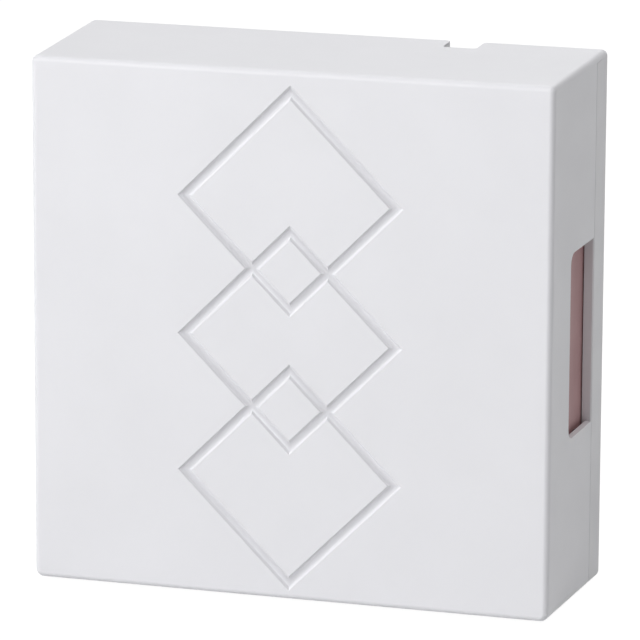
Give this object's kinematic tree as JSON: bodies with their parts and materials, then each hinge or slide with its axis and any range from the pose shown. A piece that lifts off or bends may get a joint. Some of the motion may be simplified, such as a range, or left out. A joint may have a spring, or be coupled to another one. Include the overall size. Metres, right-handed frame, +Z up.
{
  "type": "doorbell chime box",
  "caption": "Square moulded chime box for a wall, with grooved lozenges on its pull-off cover, side sound slots, tone bars and a solenoid striker on a base plate.",
  "frame": {"origin": "middle of the flat back of the base plate, on the wall plane", "axes": "+Y into the wall, +Z up, +X to the right as seen from the front"},
  "size_m": [0.13, 0.045, 0.13],
  "materials": {
    "cover_plastic": "white moulded, fine satin",
    "base_plastic": "white moulded, fine satin",
    "tone_bar": "copper coloured lacquer on steel",
    "grommet_rubber": "matt black",
    "pin_steel": "drawn wire, zinc plated",
    "bobbin_plastic": "natural nylon",
    "winding_copper": "enamelled copper wire, reddish",
    "tinned_tag": "tinned",
    "guide_brass": "drawn tube",
    "yoke_steel": "zinc plated sheet",
    "screw_steel": "zinc plated",
    "plunger_steel": "turned",
    "striker_plastic": "natural nylon",
    "spring_steel": "drawn wire",
    "terminal_plastic": "black moulded",
    "terminal_brass": "nickel free brass",
    "clamp_steel": "zinc plated",
    "lead_red": "insulation",
    "lead_white": "insulation"
  },
  "bodies": {
    "base": {"base_plate": "base_plastic", "tone_bar_right": "tone_bar", "tone_bar_left": "tone_bar", "grommets_right": "grommet_rubber", "grommets_left": "grommet_rubber", "bar_pins_right": "pin_steel", "bar_pins_left": "pin_steel", "coil_bobbin": "bobbin_plastic", "coil_winding": "winding_copper", "coil_tags": "tinned_tag", "guide_tube": "guide_brass", "yoke_frame": "yoke_steel", "yoke_cover": "yoke_steel", "yoke_screws": "screw_steel", "return_spring": "spring_steel", "terminal_block": "terminal_plastic", "terminal_plates": "terminal_brass", "terminal_clamps": "clamp_steel", "terminal_screws": "terminal_brass", "block_screws": "screw_steel", "coil_lead_short": "lead_red", "coil_lead_long": "lead_white"},
    "cover": {"cover": "cover_plastic"},
    "plunger": {"plunger": "plunger_steel", "striker_right": "striker_plastic", "striker_left": "striker_plastic"}
  },
  "joints": [
    {"name": "cover_pull", "type": "slide", "parent": "base", "child": "cover", "axis": [0, -1, 0], "range_m": [0, 0.06]},
    {"name": "plunger_slide", "type": "slide", "parent": "base", "child": "plunger", "axis": [1, 0, 0], "range_m": [-0.0037, 0.0037], "stiffness_N_per_m": 60, "deforming": ["return_spring"]}
  ]
}
